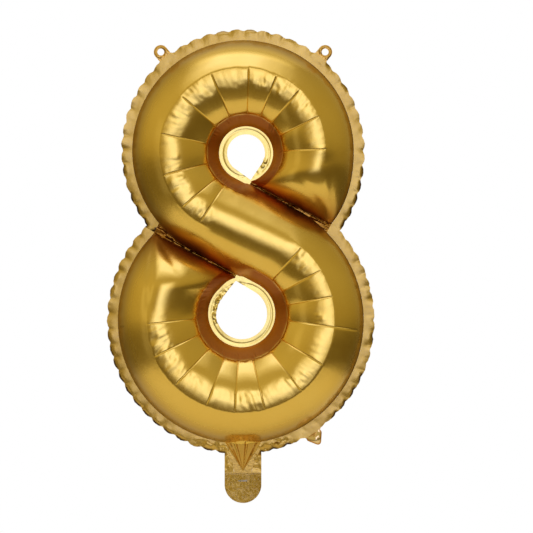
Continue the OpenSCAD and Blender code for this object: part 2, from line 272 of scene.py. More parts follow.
def tube_stations():
    """Where the film's columns stand along the tube: closer at its ends and at each crease."""
    s = [np.arange(0, tube_len, 2.2 * MM)]
    close = np.arange(0, 30, 0.9) * MM
    s += [close, tube_len - close]
    near = np.array([-3.4, -2.2, -1.3, -0.7, -0.3, 0.3, 0.7, 1.3, 2.2, 3.4]) * MM
    at = travelled(NOMINAL_X)
    s[0] = s[0][np.abs(s[0][:, None] - at).min(axis=1) > 4.2 * MM]
    s.append((at[:, None] + near).ravel())
    s = np.unique(np.round(np.concatenate(s + [[0, tube_len]]), 6))
    return s[np.concatenate([[True], np.diff(s) > 0.25 * MM])]


BASE = 0.25 * MM  # the film's height over the middle plane at a weld
DEPTH_RATIO = 0.94  # of the section, depth over width


def closing(s):
    """The share of its full depth that the tube has at s from a closed end."""
    t = np.clip(s / CLOSING, 0, 1)
    return np.sqrt(np.clip(1 - (1 - t) ** 2, 0, 1))


def profile(v, turn):
    """The section's height from 0 to 1; its highest line stands off the middle, away from the hole."""
    q = 2 * v - 1
    c = 2 * CREST_SHIFT * turn
    k = q - c * (1 - q * q) / (1 - c * c)
    return np.clip(1 - k * k, 0, 1) ** EDGE_POWER


def plain_skin(x, v):
    """Points of the inflated film at tube places x and shares v across it, as X, height, Z."""
    left, right = section(x)
    width = np.hypot(*np.moveaxis(right - left, -1, 0))
    s = travelled(x)
    rise = closing(s) * closing(tube_len - s) * DEPTH_RATIO * width / 2
    turn = np.clip((upper_len + band_len / 2 - s) / band_len, -1, 1)
    height = profile(v, turn)

    upper_loop, lower_loop = step_up(1.35 - x, 0, 0.3), step_up(x - 1.65, 0, 0.3)

    # Round a hole the film stands as a straight, steep wall up to the shoulder
    for inner, loop in ((v, upper_loop), (1 - v, lower_loop)):
        shoulder = profile(np.where(loop > 0, SHOULDER if inner is v else 1 - SHOULDER, 0.5), turn)
        wall = shoulder * np.clip(inner / SHOULDER, 0, 1) ** 0.9
        height = np.where(inner < SHOULDER, mix(height, wall, loop), height)

    # Next to the rim it comes down a little flatter than a full round
    for outer, loop in ((1 - v, upper_loop), (v, lower_loop)):
        height = height * (1 - 0.38 * loop * np.exp(-outer / 0.03))
    p = mix(left, right, v[..., None])
    return np.stack([p[..., 0], BASE + rise * height, p[..., 1]], axis=-1), width


def normals_of(p):
    """Unit normals of a grid of points, on the side of greater height."""
    du, dv = np.gradient(p, axis=0), np.gradient(p, axis=1)
    n = np.cross(du, dv)
    n /= np.maximum(np.linalg.norm(n, axis=-1, keepdims=True), 1e-12)
    middle = n[len(n) // 2, n.shape[1] // 2, 1]
    return n if middle > 0 else -n


fold_p, _ = fold_line("tail_fold")
fold_z = fold_p[1]
tail_lo, tail_hi = corners("tail_edge_weld")
tail_w = tail_hi[0] - tail_lo[0]
neck_lo, neck_hi = corners("neck_front_film")
FUNNEL_W = (neck_hi[0] - neck_lo[0]) / 2 + 6 * MM
FUNNEL_H = 23 * MM
FUNNEL_TIP = fold_z + 5 * MM
FOLD_GAP = neck_lo[2] - tail_hi[2]  # the CAD pieces stop this far from each other at each fold


def funnel(x, z):
    """Height of the inflated funnel that leads from the chamber into the neck, with its wrinkles."""
    top = chamber_lo[2]
    share = np.clip((z - FUNNEL_TIP) / (top - FUNNEL_TIP), 0, 1.3)
    half = np.maximum(FUNNEL_W * np.minimum(share, 1.05), 1e-6)
    u = np.clip(x / half, -1, 1)
    round_part = np.cos(np.pi * u / 2) ** 1.1
    ribs = 0.13 * np.cos(3.1 * np.pi * u + 0.6) + 0.08 * np.cos(6.3 * np.pi * u - 0.8)
    ribs = ribs - 0.10 * np.exp(-((u / 0.12) ** 2))
    return FUNNEL_H * share**0.85 * round_part * (1 + ribs)


def slits():
    """Each slit's middle line, its two ends along it, and on which side of it the tube's closed end lies."""
    upper_tip = upper_hole_c + upper_hole_r * unit(TIP_A)
    lower_tip = lower_hole_c + lower_hole_r * unit(TIP_A + 180)
    notch = upper_c + (upper_r + END_SWELL) * unit(upper_end_a)
    left_notch = lower_c + lower_r * unit(lower_end_a)
    return (
        (band_top + WAIST_GAP / 2, along @ upper_tip, along @ notch, 1),
        (band_bottom - WAIST_GAP / 2, along @ left_notch, along @ lower_tip, -1),
    )


def across_along(p):
    """Each point's place across the band and along it."""
    return p[..., 0] * across[0] + p[..., 2] * across[1], p[..., 0] * along[0] + p[..., 2] * along[1]


def squeeze_slits(p):
    """Makes the two parts of the tube that face each other across a slit bulge over it."""
    h, a = across_along(p)
    high = window(p[..., 1], 9 * MM, 60 * MM, 8 * MM)
    for middle, start, end, _ in slits():
        off = h - middle
        apart = np.abs(off) - WAIST_GAP / 2
        pull = 0.42 * WAIST_GAP * np.exp(-np.clip(apart, 0, None) / (11 * MM)) * high
        pull *= window(a, start, end, 12 * MM)
        move = -np.sign(off) * pull
        p[..., 0] += move * across[0]
        p[..., 2] += move * across[1]


def slit_shade(p):
    """How deep each point sits in a slit, and how close it is to one on the closed end's side, as shares of
    painted shade.
    """
    h, a = across_along(p)
    deep, beside = 0.0, 0.0
    for middle, start, end, side in slits():
        off = (h - middle) * side
        inside = window(a, start - 6 * MM, end + 2 * MM, 16 * MM)
        deep = deep + inside * np.exp(-((off / (15 * MM)) ** 2))
        reach = np.where(off > 0, 44 * MM, 24 * MM)
        beside = beside + inside * np.exp(-((off / reach) ** 2))
    return np.clip(deep, 0, 1), np.clip(beside, 0, 1)


def skin_grid(seed):
    """The front film's points with all its relief, heights positive, and its columns' and rows' places."""
    s0 = tube_stations()
    v = ROWS
    knots = np.concatenate([[0], NOMINAL_X[:N_UPPER], [1, 2], NOMINAL_X[N_UPPER:], [3]])
    x = np.empty((len(s0), len(v)))
    for row in range(len(v)):
        at = np.concatenate([[0], CREASE_X[:N_UPPER, row], [1, 2], CREASE_X[N_UPPER:, row], [3]])
        x[:, row] = np.interp(place_on_tube(s0), knots, at)
    v = np.broadcast_to(v[None, :], x.shape)
    s = travelled(x)
    p, width = plain_skin(x, v)
    marks, _ = plain_skin(CREASE_X, np.broadcast_to(ROWS[None, :], CREASE_X.shape))
    mark_s = travelled(CREASE_X)

    # w runs from the hole's weld to the rim's
    w = np.where(x < 1.5, v, 1 - v)
    across_m = w * width
    last = len(CREASE_X) - 1

    # Facets: between two creases each row runs nearly straight, and each facet leans its own way
    lean = np.random.RandomState(seed + 30).uniform(-1, 1, len(CREASE_X))
    faceted = p.copy()
    bulge, tilt = np.zeros_like(w), np.zeros_like(w)
    for i in range(last):
        if i == N_UPPER - 1:
            continue
        start, end = CREASE_X[i], CREASE_X[i + 1]
        t = (x - start) / (end - start)
        inside = (t >= 0) & (t <= 1)
        straight = mix(marks[i][None], marks[i + 1][None], t[..., None])
        faceted[inside] = straight[inside]
        bulge[inside] = (4 * t * (1 - t))[inside]
        tilt[inside] = (lean[i] * (t - 0.5))[inside]
    facet_w = step_up(w, SHOULDER - 0.03, SHOULDER + 0.03) * (1 - step_up(w, 0.40, RIDGE + 0.01))
    near_ridge = step_up(w, SHOULDER, SHOULDER + 0.1) * (1 - step_up(w, RIDGE - 0.03, RIDGE + 0.02))
    p = p + facet_w[..., None] * (faceted - p)
    n = normals_of(p)

    def loop_share(first, final, soft):
        """1 where the facets are along the tube, fading just past the first and last crease."""
        return step_up(s - mark_s[first] + soft, 0, soft) * (1 - step_up(s - mark_s[final], 0, soft))

    ring = loop_share(0, N_UPPER - 1, 26 * MM) + loop_share(N_UPPER, last, 30 * MM)

    d = 0.8 * MM * bulge * facet_w + 0.9 * MM * tilt * near_ridge
    ridge_m = RIDGE * width
    inside_ridge = np.clip((w - (RIDGE - 0.17)) / 0.17, 0, 1) ** 1.6
    outside_ridge = np.exp(-np.clip(across_m - ridge_m, 0, None) / (8 * MM))
    d += RIDGE_H * ring * np.where(w < RIDGE, inside_ridge, outside_ridge)

    # Creases: a narrow groove between low lips
    for i in range(len(CREASE_X)):
        away = s - mark_s[i]
        reach = RIDGE - 0.005 + 0.02 * float(noise(i * 1.7, 0.3, 5))
        if i == N_UPPER + LONG_CREASE:
            reach = 0.93
        deep = window(w, SHOULDER + 0.02, reach - 0.03, 0.03) * mix(0.6, 1.0, np.clip(w / 0.5, 0, 1))
        lips = 0.18 * MM * np.exp(-((away / (2.4 * MM)) ** 2))
        d += deep * (lips - 1.25 * MM * np.exp(-np.abs(away) / (0.75 * MM)))

    # Puckers across the bright band just inside the ridge
    band = window(w, 0.49, RIDGE - 0.03, 0.05) * ring
    patchy = 0.35 + 0.65 * step_up(noise(s / (34 * MM), across_m / (60 * MM), seed + 1), -0.3, 0.4)
    d += 0.42 * MM * band * patchy * noise(s / (5.6 * MM), across_m / (24 * MM), seed + 2)
    d += 0.20 * MM * band * patchy * noise(s / (2.9 * MM), across_m / (13 * MM), seed + 3)
    d += 0.30 * MM * band * patchy * noise(s / (9 * MM), across_m / (8 * MM), seed + 12)

    # The hole's steep wall: fine pleats where the film is gathered
    wall = window(w, SHOULDER - 0.045, SHOULDER - 0.005, 0.03) * closing(s) * closing(tube_len - s)
    gathered = 0.25 + 0.75 * step_up(noise(s / (45 * MM), 0.0 * w, seed + 4), -0.15, 0.5)
    d += 0.50 * MM * wall * gathered * noise(s / (3.6 * MM), across_m / (14 * MM), seed + 5)
    d += 0.30 * MM * wall * gathered * noise(s / (2.1 * MM), across_m / (9 * MM), seed + 14)

    # Slow unevenness of the whole film
    d += 0.8 * MM * noise(s / (85 * MM), across_m / (70 * MM), seed + 6) * window(w, 0.1, 0.9, 0.1)
    d += 0.12 * MM * noise(s / (22 * MM), across_m / (24 * MM), seed + 7) * window(w, 0.1, 0.92, 0.06)

    # Tucks at the rim
    tuck = step_up(noise(s / (17 * MM), 0.0 * w, seed + 8), 0.35, 0.8)
    d -= 1.2 * MM * tuck * window(w, 0.955, 0.99, 0.04) * np.abs(noise(s / (5 * MM), 0.0 * w, seed + 9))

    # Closed ends: gathers square to the weld, and folds that fan out from the notch
    for from_end, fan, notch in ((s, UPPER_FAN, p[0, -1]), (tube_len - s, LOWER_FAN, p[-1, 0])):
        gather = np.exp(-from_end / (15 * MM)) * window(w, 0.04, 0.95, 0.05)
        gather = gather * mix(0.5, 1.3, step_up(w, 0.4, 0.8))
        d += 0.8 * MM * gather * noise(across_m / (14 * MM), from_end / (30 * MM), seed + 10)
        d += 0.45 * MM * gather * noise(across_m / (5 * MM), from_end / (14 * MM), seed + 13)
        dx, dz = p[..., 0] - notch[0], p[..., 2] - notch[2]
        dist, angle = np.hypot(dx, dz), np.degrees(np.arctan2(dz, dx))
        near_end = step_up(150 * MM - from_end, 0, 60 * MM)
        for a, reach, depth, soft in fan:
            off = dist * np.radians((angle - a + 180) % 360 - 180)
            line = np.exp(-((off / soft) ** 2)) - 0.6 * np.exp(-(((off - 2.6 * soft) / (2.2 * soft)) ** 2))
            d -= depth * near_end * line * window(dist, 14 * MM, reach * 0.6, reach * 0.4)

    # The film's own edges stay on the welds, and its two ends tuck under the film of the slits
    held = step_up(s, 0, 4 * MM) * step_up(tube_len - s, 0, 4 * MM)
    held = held * step_up(v, 0, 0.02) * step_up(1 - v, 0, 0.02)
    p = p + n * (d * held)[..., None]
    squeeze_slits(p)
    under = 0.9 * MM * (np.exp(-s / (0.8 * MM)) - np.exp(-(tube_len - s) / (0.8 * MM)))
    p[..., 0] -= under * across[0]
    p[..., 2] -= under * across[1]

    # Over the neck the film comes down to the funnel at an easy slope
    weld_z = lower_c[1] - np.sqrt(np.clip(lower_r**2 - (p[..., 0] - lower_c[0]) ** 2, 0, None))
    top = BASE + 0.1 * MM + funnel(p[..., 0], weld_z)
    reach = 19 * MM
    t = np.clip((1 - w) * width / reach, 0, 1)
    slope = 0.8 * reach
    eased = top * (1 - ease(t)) + slope * t * (1 - t) ** 2 + p[..., 1] * ease(t)
    sideways = np.clip(p[..., 0] / (FUNNEL_W + 3 * MM), -1, 1)
    over_neck = np.cos(np.pi / 2 * sideways) ** (1.3 * np.clip(t / 0.3, 0, 1))
    over_neck = np.where((x > 1.5) & (p[..., 2] < lower_c[1]) & (t < 1), over_neck, 0)
    p[..., 1] = mix(p[..., 1], eased, over_neck)
    p[..., 1] = np.maximum(p[..., 1], BASE)
    return p, s, w, over_neck


# Folds from each notch: direction in degrees, length, depth, half-width
UPPER_FAN = [(91, 170 * MM, 0.9 * MM, 7 * MM), (124, 120 * MM, 1.2 * MM, 8 * MM)]
LOWER_FAN = [(-94, 160 * MM, 1.3 * MM, 7 * MM), (-54, 105 * MM, 1.5 * MM, 7 * MM)]


# ---------------------------------------------------------------- meshes
SMOOTH_ANGLE = 50
SKIN_SMOOTH_ANGLE = 38


def mesh_piece(name, verts, faces, body, material, replaced, smooth_angle=SMOOTH_ANGLE):
    me = bpy.data.meshes.new(name)
    me.from_pydata([tuple(v) for v in verts], [], [tuple(f) for f in faces])
    me.update()
    ob = bpy.data.objects.new(name, me)
    bpy.context.scene.collection.objects.link(ob)
    finish_piece(ob, body, material, replaced, smooth_angle)
    return ob


def finish_piece(ob, body, material, replaced, smooth_angle=SMOOTH_ANGLE):
    me = ob.data
    me.materials.clear()
    me.materials.append(material)
    me.shade_smooth()
    me.set_sharp_from_angle(angle=math.radians(smooth_angle))
    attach(ob, body)
    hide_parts(*replaced)


def grid_faces(rows, cols):
    i, j = np.meshgrid(np.arange(rows - 1), np.arange(cols - 1), indexing="ij")
    a = (i * cols + j).ravel()
    return np.stack([a, a + 1, a + cols + 1, a + cols], axis=1)


# Painted shade: colours that multiply a piece's colour per vertex, darkening it to stand in for shade
WHITE = np.ones(3)
HOLE_WALL_PAINTED_SHADE = np.array([0.62, 0.33, 0.09])  # the walls of the holes see little but one another
SLIT_PAINTED_SHADE = np.array([1.0, 0.74, 0.72])  # low in a slit
BESIDE_SLIT_PAINTED_SHADE = np.array([0.74, 0.60, 0.46])  # on a closed end, beside its slit
RIM_BAND_PAINTED_SHADE = np.array([0.50, 0.45, 0.34])  # the broad band next to the rim
SEAM_PAINTED_SHADE = np.array([0.30, 0.22, 0.12])  # the line where the film meets the rim
CURL_PAINTED_SHADE = np.array([0.07, 0.03, 0.01])  # the underside of a rim's curled lobes
LOBE_EDGE_PAINTED_SHADE = np.array([0.66, 0.42, 0.16])  # the lower tab's edge


def add_painted_shade(ob, parts):
    """Painted shade as a colour per vertex: white, mixed towards each shade colour by its share."""
    total = np.ones((len(ob.data.vertices), 3))
    for share, painted_shade in parts:
        total *= mix(WHITE, painted_shade, np.asarray(share).ravel()[:, None])
    rgba = np.concatenate([total, np.ones((len(total), 1))], axis=1)
    layer = ob.data.attributes.new("painted_shade", "FLOAT_COLOR", "POINT")
    layer.data.foreach_set("color", rgba.astype(np.float32).ravel())


UV_WIDTH = 0.16  # the tube's width in the UV map, in metres


def add_uv(ob, u, v):
    """One UV map from a value per vertex, in metres."""
    layer = ob.data.uv_layers.new(name="film")
    index = np.empty(len(ob.data.loops), dtype=np.int32)
    ob.data.loops.foreach_get("vertex_index", index)
    layer.data.foreach_set("uv", np.stack([u[index], v[index]], axis=1).astype(np.float32).ravel())


def make_skin(name, node, side, seed, material):
    p, s, w, over_neck = skin_grid(seed)
    rows, cols = p.shape[:2]
    deep_slit, beside_slit = slit_shade(p)
    p[..., 1] *= side
    faces = grid_faces(rows, cols)
    a, b, c = (p.reshape(-1, 3)[faces[:, k]] for k in (0, 1, 2))
    if (np.cross(b - a, c - a)[:, 1] * side).sum() < 0:
        faces = faces[:, ::-1]
    ob = mesh_piece(name, p.reshape(-1, 3), faces, "balloon", material, [node], SKIN_SMOOTH_ANGLE)
    add_uv(ob, s.ravel(), w.ravel() * UV_WIDTH)
    in_loop = 1 - window(s, upper_len + 0.3 * band_len, upper_len + 0.7 * band_len, 0.2 * band_len)
    # Painted shade and reflection: the holes' steep walls darken towards brown
    painted_wall_shade = in_loop * (1 - step_up(w, SHOULDER - 0.012, SHOULDER + 0.004))
    from_rim = (1 - w) * (lower_r - lower_hole_r)
    open_edge = in_loop * (1 - over_neck)
    # Painted shade: a broad darker band next to the open rim, weaker on the right
    edge = open_edge * np.exp(-((from_rim / (21 * MM)) ** 2)) * mix(1.0, 0.4, step_up(p[..., 0], 0.08, 0.16))
    # Painted shade: a dark line where the film meets the rim, stronger on the right
    painted_side_shade = mix(0.25, 1.0, step_up(p[..., 0], 0.02, 0.14))
    painted_seam_shade = open_edge * painted_side_shade * np.exp(-((from_rim / (2.6 * MM)) ** 2))
    # Painted shade low in the slits
    painted_slit_shade = deep_slit * (1 - step_up(np.abs(p[..., 1]), 40 * MM, 62 * MM))
    # Painted shade on the closed ends beside the slits
    beside = beside_slit * (1 - step_up(np.abs(p[..., 1]), 48 * MM, 68 * MM))
    add_painted_shade(
        ob,
        [
            (painted_wall_shade, HOLE_WALL_PAINTED_SHADE),
            (painted_slit_shade, SLIT_PAINTED_SHADE),
            (beside, BESIDE_SLIT_PAINTED_SHADE),
            (edge, RIM_BAND_PAINTED_SHADE),
            (painted_seam_shade, SEAM_PAINTED_SHADE),
        ],
    )
    return ob


def fine_copy(node, cell):
    """The node's mesh, cut by planes square to X and Z into cells."""
    bm = bmesh.new()
    bm.from_mesh(frame["nodes"][node].data)
    bmesh.ops.remove_doubles(bm, verts=bm.verts, dist=1e-6)
    bmesh.ops.dissolve_limit(bm, angle_limit=0.02, verts=bm.verts, edges=bm.edges)
    lo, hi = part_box(node)
    for axis in (0, 2):
        normal = Vector((1, 0, 0)) if axis == 0 else Vector((0, 0, 1))
        for k in range(math.ceil(lo[axis] / cell), math.floor(hi[axis] / cell) + 1):
            everything = bm.verts[:] + bm.edges[:] + bm.faces[:]
            bmesh.ops.bisect_plane(
                bm, geom=everything, dist=2e-6, plane_co=normal * (k * cell), plane_no=normal
            )
    return bm


def from_edge(bm, inner_side):
    """Each vertex's distance to the piece's cut edge, apart from the stretches where inner_side(x, z)."""
    upright = (f for f in bm.faces if abs(f.normal.y) < 0.5)
    edge = {v for f in upright for v in f.verts if not inner_side(v.co.x, v.co.z)}
    tree = KDTree(len(edge))
    for i, v in enumerate(edge):
        tree.insert((v.co.x, 0, v.co.z), i)
    tree.balance()
    return np.array([tree.find((v.co.x, 0, v.co.z))[2] for v in bm.verts])


def relief_piece(name, node, body, cell, field, material, edge=None):
    """A copy of a flat node, moved by field(x, z), which gives dx, dy, dz and a share of painted shade for its
    edge.

    edge is that painted shade's colour, its width, and a test for the stretches that don't take it."""
    bm = fine_copy(node, cell)
    distance = from_edge(bm, edge[2]) if edge else None
    me = bpy.data.meshes.new(name)
    bm.to_mesh(me)
    bm.free()
    co = np.empty(len(me.vertices) * 3)
    me.vertices.foreach_get("co", co)
    co = co.reshape(-1, 3)
    dx, dy, dz, *shade = field(co[:, 0], co[:, 2])
    co[:, 0] += dx
    co[:, 1] += dy
    co[:, 2] += dz
    me.vertices.foreach_set("co", co.ravel())
    me.update()
    ob = bpy.data.objects.new(name, me)
    bpy.context.scene.collection.objects.link(ob)
    if edge:
        painted_shade, width, _ = edge
        add_painted_shade(ob, [(shade[0] * (1 - step_up(distance, 0.45 * width, 1.2 * width)), painted_shade)])
    finish_piece(ob, body, material, [node])
    return ob


# ---------------------------------------------------------------- materials
def new_material(name):
    m = bpy.data.materials.new(name)
    m.use_nodes = True
    nt = m.node_tree
    return m, nt, nt.nodes["Principled BSDF"]


def ramp(nt, fac, stops):
    node = nt.nodes.new("ShaderNodeValToRGB")
    el = node.color_ramp.elements
    el[0].position, el[0].color = stops[0][0], (*stops[0][1], 1)
    el[1].position, el[1].color = stops[-1][0], (*stops[-1][1], 1)
    for pos, col in stops[1:-1]:
        e = el.new(pos)
        e.color = (*col, 1)
    nt.links.new(fac, node.inputs["Fac"])
    return node.outputs["Color"]


def noise_node(nt, vector, scale, detail=3.0, rough=0.5):
    node = nt.nodes.new("ShaderNodeTexNoise")
    node.inputs["Scale"].default_value = scale
    node.inputs["Detail"].default_value = detail
    node.inputs["Roughness"].default_value = rough
    nt.links.new(vector, node.inputs["Vector"])
    return node.outputs["Fac"]


def bump(nt, height, strength, distance, normal=None):
    node = nt.nodes.new("ShaderNodeBump")
    node.inputs["Strength"].default_value = strength
    node.inputs["Distance"].default_value = distance
    nt.links.new(height, node.inputs["Height"])
    if normal is not None:
        nt.links.new(normal, node.inputs["Normal"])
    return node.outputs["Normal"]


def remap(nt, value, low, high):
    node = nt.nodes.new("ShaderNodeMapRange")
    node.inputs["To Min"].default_value = low
    node.inputs["To Max"].default_value = high
    nt.links.new(value, node.inputs["Value"])
    return node.outputs["Result"]


def object_coords(nt):
    return nt.nodes.new("ShaderNodeTexCoord").outputs["Object"]


def foil_material(name, light, dark, rough, bumps, coat=0.35):
    """Metallised film. Its colour drifts between light and dark, and bumps are (scale, depth)."""
    m, nt, bsdf = new_material(name)
    where = object_coords(nt)
    drift = noise_node(nt, where, 14.0, 2.0)
    nt.links.new(ramp(nt, drift, [(0.3, dark), (0.7, light)]), bsdf.inputs["Base Color"])
    bsdf.inputs["Metallic"].default_value = 1.0
    fine = noise_node(nt, where, 60.0, 3.0)
    nt.links.new(remap(nt, fine, rough[0], rough[1]), bsdf.inputs["Roughness"])
    bsdf.inputs["Coat Weight"].default_value = coat
    bsdf.inputs["Coat Roughness"].default_value = 0.08
    bsdf.inputs["Coat IOR"].default_value = 1.5
    normal = None
    for scale, depth in bumps:
        normal = bump(nt, noise_node(nt, where, scale, 2.0), 1.0, depth, normal)
    nt.links.new(normal, bsdf.inputs["Normal"])
    return m


def multiply_by_painted_shade(material):
    """Multiplies the colour by the mesh's painted shade, kept per vertex, and makes the film rougher where that is
    dark.
    """
    nt = material.node_tree
    bsdf = nt.nodes["Principled BSDF"]
    plain = bsdf.inputs["Base Color"].links[0].from_socket
    painted_shade = nt.nodes.new("ShaderNodeAttribute")
    painted_shade.attribute_name = "painted_shade"
    both = nt.nodes.new("ShaderNodeVectorMath")
    both.operation = "MULTIPLY"
    nt.links.new(plain, both.inputs[0])
    nt.links.new(painted_shade.outputs["Vector"], both.inputs[1])
    nt.links.new(both.outputs["Vector"], bsdf.inputs["Base Color"])
    green = nt.nodes.new("ShaderNodeSeparateXYZ")
    nt.links.new(painted_shade.outputs["Vector"], green.inputs["Vector"])
    extra = nt.nodes.new("ShaderNodeMapRange")
    extra.inputs["From Min"].default_value = 0.3
    extra.inputs["To Min"].default_value = 0.24
    extra.inputs["To Max"].default_value = 0.0
    nt.links.new(green.outputs["Y"], extra.inputs["Value"])
    rougher = nt.nodes.new("ShaderNodeMath")
    rougher.operation = "ADD"
    nt.links.new(bsdf.inputs["Roughness"].links[0].from_socket, rougher.inputs[0])
    nt.links.new(extra.outputs["Result"], rougher.inputs[1])
    nt.links.new(rougher.outputs["Value"], bsdf.inputs["Roughness"])


GOLD_LIGHT, GOLD_DARK = (0.96, 0.665, 0.145), (0.93, 0.625, 0.12)
skin_mat = foil_material(
    "gold_film", GOLD_LIGHT, GOLD_DARK, (0.17, 0.25), [(35, 0.12 * MM), (140, 0.04 * MM)], 0.08
)
multiply_by_painted_shade(skin_mat)
weld_mat = foil_material(
    "welded_film", (0.79, 0.53, 0.115), (0.69, 0.44, 0.085), (0.24, 0.38), [(90, 0.25 * MM), (500, 0.05 * MM)]
)
multiply_by_painted_shade(weld_mat)
# Painted light: a lighter, yellower copy of the welded film, for bounce light and highlight round the holes
hole_weld_painted_light_mat = foil_material(
    "hole_weld_painted_light_film", (0.99, 0.79, 0.22), (0.96, 0.70, 0.16), (0.16, 0.24), [(120, 0.15 * MM)]
)
# Painted shade: a darker, browner copy of the welded film for the film deep in the slits
slit_painted_shade_mat = foil_material(
    "slit_painted_shade_film", (0.66, 0.35, 0.06), (0.46, 0.21, 0.03), (0.20, 0.34), [(220, 0.4 * MM)], 0.05
)
neck_mat = foil_material("neck_film", (0.72, 0.46, 0.09), (0.60, 0.36, 0.06), (0.17, 0.28), [(160, 0.3 * MM)])
tail_mat = foil_material(
    "tail_film", (0.62, 0.41, 0.085), (0.44, 0.27, 0.045), (0.18, 0.32), [(240, 1.1 * MM), (620, 0.5 * MM)]
)
tab_mat = foil_material("tab_film", (0.86, 0.52, 0.10), (0.74, 0.42, 0.07), (0.20, 0.34), [(200, 0.5 * MM)])
# Painted highlight: a lighter copy of the tab film for the lower tab
lobe_painted_highlight_mat = foil_material(
    "lower_tab_painted_highlight_film", (1.0, 0.80, 0.42), (0.95, 0.68, 0.30), (0.12, 0.20), [(120, 0.15 * MM)]
)
multiply_by_painted_shade(lobe_painted_highlight_mat)


def valve_material():
    m, nt, bsdf = new_material("valve_film")
    where = object_coords(nt)
    nt.links.new(
        ramp(nt, noise_node(nt, where, 90.0), [(0.3, (0.80, 0.82, 0.84)), (0.7, (0.92, 0.93, 0.94))]),
        bsdf.inputs["Base Color"],
    )
    nt.links.new(remap(nt, noise_node(nt, where, 200.0), 0.18, 0.34), bsdf.inputs["Roughness"])
    bsdf.inputs["Transmission Weight"].default_value = 0.6
    nt.links.new(bump(nt, noise_node(nt, where, 260.0), 1.0, 0.2 * MM), bsdf.inputs["Normal"])
    return m


valve_mat = valve_material()

# ---------------------------------------------------------------- the inflated films
front_skin = make_skin("front_film", "front_panel", -1, 11, skin_mat)
back_skin = make_skin("back_film", "back_panel", 1, 41, skin_mat)


# ---------------------------------------------------------------- welds
RIM_W = corners("upper_rim_weld")[1][2] - chamber_hi[2]
PUCKER_PITCH = 27 * MM
RIM_CELL, HOLE_CELL, WAIST_CELL, TAIL_CELL, TAB_CELL = 2.2 * MM, 1.6 * MM, 1.2 * MM, 1.5 * MM, 1.0 * MM
CURL_SHADE_W, LOBE_SHADE_W = 4.2 * MM, 3.4 * MM  # widths of the tinted edges


def from_fold(x, z, fold, out):
    """How far points lie beyond a fold, and how far along it from its middle."""
    u = (x - fold[0]) * out[0] + (z - fold[1]) * out[1]
    v = (x - fold[0]) * -out[1] + (z - fold[1]) * out[0]
    return u, v


def rim_field(centre, radius, seed, swell):
    """Puckers of a rim: low lobes between tucks, and stretches of its edge that curl back, with painted shade
    under those curls.
    """

    def field(x, z):
        dx, dz = x - centre[0], z - centre[1]
        r = np.hypot(dx, dz)
        a = np.degrees(np.arctan2(dz, dx))
        swollen = END_SWELL * ease((upper_end_a + SWELL_BLEND - a) / SWELL_BLEND) * (np.abs(a) < 90)
        line = radius + swell * swollen
        out = np.clip((r - line) / RIM_W, 0, 1.3)
        arc_m = np.arctan2(dx, dz) * (radius + RIM_W)  # from the top, so that its ends meet at the bottom
        phase = arc_m / PUCKER_PITCH + 0.25 * noise(arc_m / (70 * MM), 0.5, seed)
        turn = np.abs(np.sin(np.pi * phase))
        which = np.round(phase)
        size = 0.55 + 0.65 * noise(which * 1.37, 2.5, seed + 1)
        dy = 2.9 * MM * out**1.4 * size * (1 - turn**0.6)
        dy += 1.3 * MM * out**1.2 * noise(arc_m / (26 * MM), out * 0.8, seed + 2)
        dy += 0.28 * MM * out * noise(arc_m / (6 * MM), out * 2.2, seed + 3)
        below = step_up(-dz / r, -0.15, 0.5)
        chosen = noise(np.floor(phase) * 1.37, 3.5, seed + 7) + mix(-0.25, 0.45, below)
        curled = step_up(chosen, -0.05, 0.1) * step_up(turn, 0.25, 0.75)
        dy += 3.4 * MM * curled * np.clip((out - 0.66) / 0.34, 0, 1) ** 1.6
        near_neck = step_up(105 * MM - np.hypot(x, z - fold_z - 45 * MM), 0, 45 * MM)
        dy += 2.2 * MM * near_neck * ease(out * 2) * noise(x / (6 * MM), z / (6 * MM), seed + 4)
        dy += 0.9 * MM * near_neck * ease(out * 2) * noise(x / (3.4 * MM), z / (3.4 * MM), seed + 10)
        pull = -1.3 * MM * out**2 * (1 - turn**0.5)
        pull = pull + 0.5 * MM * out**2 * noise(arc_m / (4.2 * MM), 0.2, seed + 5)
        below_neck = step_up(lower_c[1] - lower_r - RIM_W + 6 * MM - z, 0, 10 * MM)
        keep = 1 - below_neck * (np.abs(x) < tail_w)
        fine = 1.4 * MM * noise(x / (8 * MM), z / (8 * MM), seed + 6)
        fine = fine + 0.9 * MM * noise(x / (3.6 * MM), z / (3.6 * MM), seed + 8)
        fine = fine * below_neck * step_up(z - fold_z, 2 * MM, 8 * MM)
        # Painted shade under the curled lobes, stronger on the rim's lower side
        dark = curled * keep * mix(0.45, 1.0, below)
        return pull * keep * dx / r, dy * keep + fine, pull * keep * dz / r, dark

    return field


NOTCHES = (upper_c + (upper_r + END_SWELL) * unit(upper_end_a), lower_c + lower_r * unit(lower_end_a))


def flat_near_folds(field):
    """Keeps the relief off the edges next to the folds and the notches, so the pieces still meet."""

    def calmer(x, z):
        # dark is the share of painted shade under the curled lobes
        dx, dy, dz, dark = field(x, z)
        calm = 1.0
        for p, out in ((right_fold, right_out), (left_fold, left_out), (lower_fold, lower_out)):
            u, v = from_fold(x, z, p, out)
            calm = calm * (1 - window(u, -9 * MM, 0.02, 6 * MM) * window(v, -15 * MM, 15 * MM, 5 * MM))
        calm = calm * step_up(z - fold_z, 0.5 * MM, 5 * MM)
        still = 1.0
        for notch in NOTCHES:
            still = still * step_up(np.hypot(x - notch[0], z - notch[1]), 14 * MM, 34 * MM)
        return dx * calm * still, dy * calm * (0.35 + 0.65 * still), dz * calm * still, dark * calm

    return calmer


upper_rim_field = flat_near_folds(rim_field(upper_c, upper_r, 71, 1))
lower_rim_field = flat_near_folds(rim_field(lower_c, lower_r, 83, 0))


